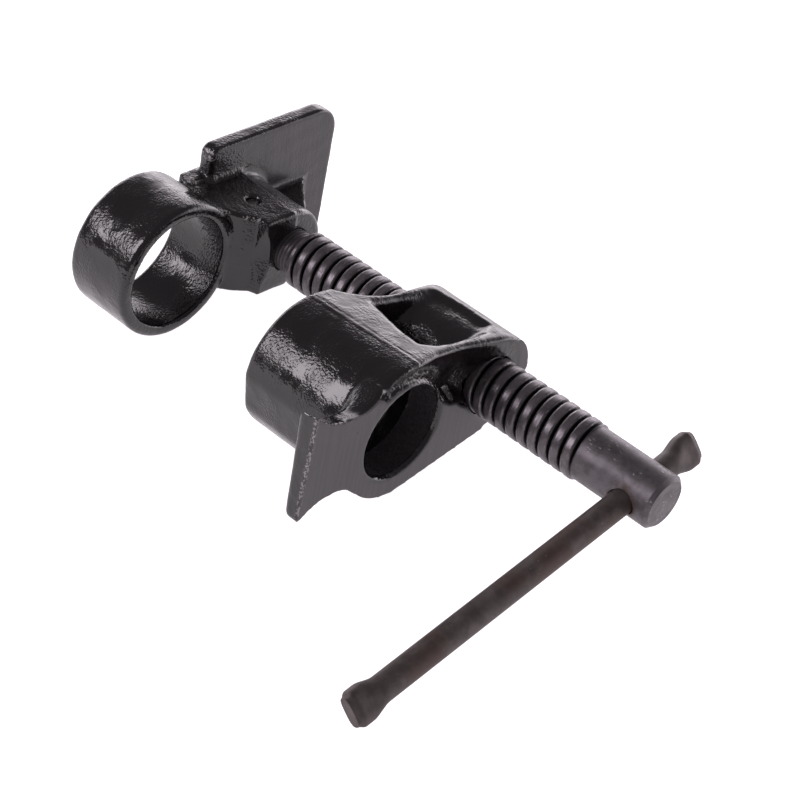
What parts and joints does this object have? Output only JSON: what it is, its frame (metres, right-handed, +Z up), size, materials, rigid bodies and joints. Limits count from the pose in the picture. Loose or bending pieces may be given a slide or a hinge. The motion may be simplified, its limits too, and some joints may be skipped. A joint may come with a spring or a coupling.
{
  "type": "pipe clamp screw end",
  "caption": "Screw end of a 3/4 in woodworking pipe clamp: black cast head threaded for the pipe, loose front jaw pinned to a steel screw, sliding cross bar.",
  "frame": {"origin": "middle of the head's pipe boss, inside its pipe thread, on the pipe's axis", "axes": "+X along the pipe from the jaw to the cross bar, +Y from the pipe to the screw, +Z up as the clamp lies on its side"},
  "size_m": [0.1393, 0.1195, 0.0404],
  "materials": {
    "casting": "gloss black dip paint over sand-cast iron, ground faces bare",
    "screw_steel": "oiled dark steel, bright on the thread crests",
    "bar_steel": "dark steel with a brown oxide tint"
  },
  "bodies": {
    "head_body": {"head": "casting"},
    "jaw_body": {"front_jaw": "casting", "jaw_pin": "bar_steel"},
    "screw_body": {"clamp_screw": "screw_steel"},
    "bar_body": {"t_bar": "bar_steel"}
  },
  "joints": [
    {"name": "jaw_slide", "type": "slide", "parent": "head_body", "child": "jaw_body", "axis": [1, 0, 0], "range_m": [-0.028, 0.036]},
    {"name": "screw_turn", "type": "hinge", "parent": "jaw_body", "child": "screw_body", "pos_m": [0, 0.0292, 0], "axis": [1, 0, 0], "range_deg": [-3200, 4100]},
    {"name": "bar_slide", "type": "slide", "parent": "screw_body", "child": "bar_body", "axis": [0, -0.986, -0.1668], "range_m": [-0.0735, 0.004]}
  ],
  "couplings": [
    {"joint": "screw_turn", "follows": "jaw_slide", "rad_per_m": 1979}
  ]
}
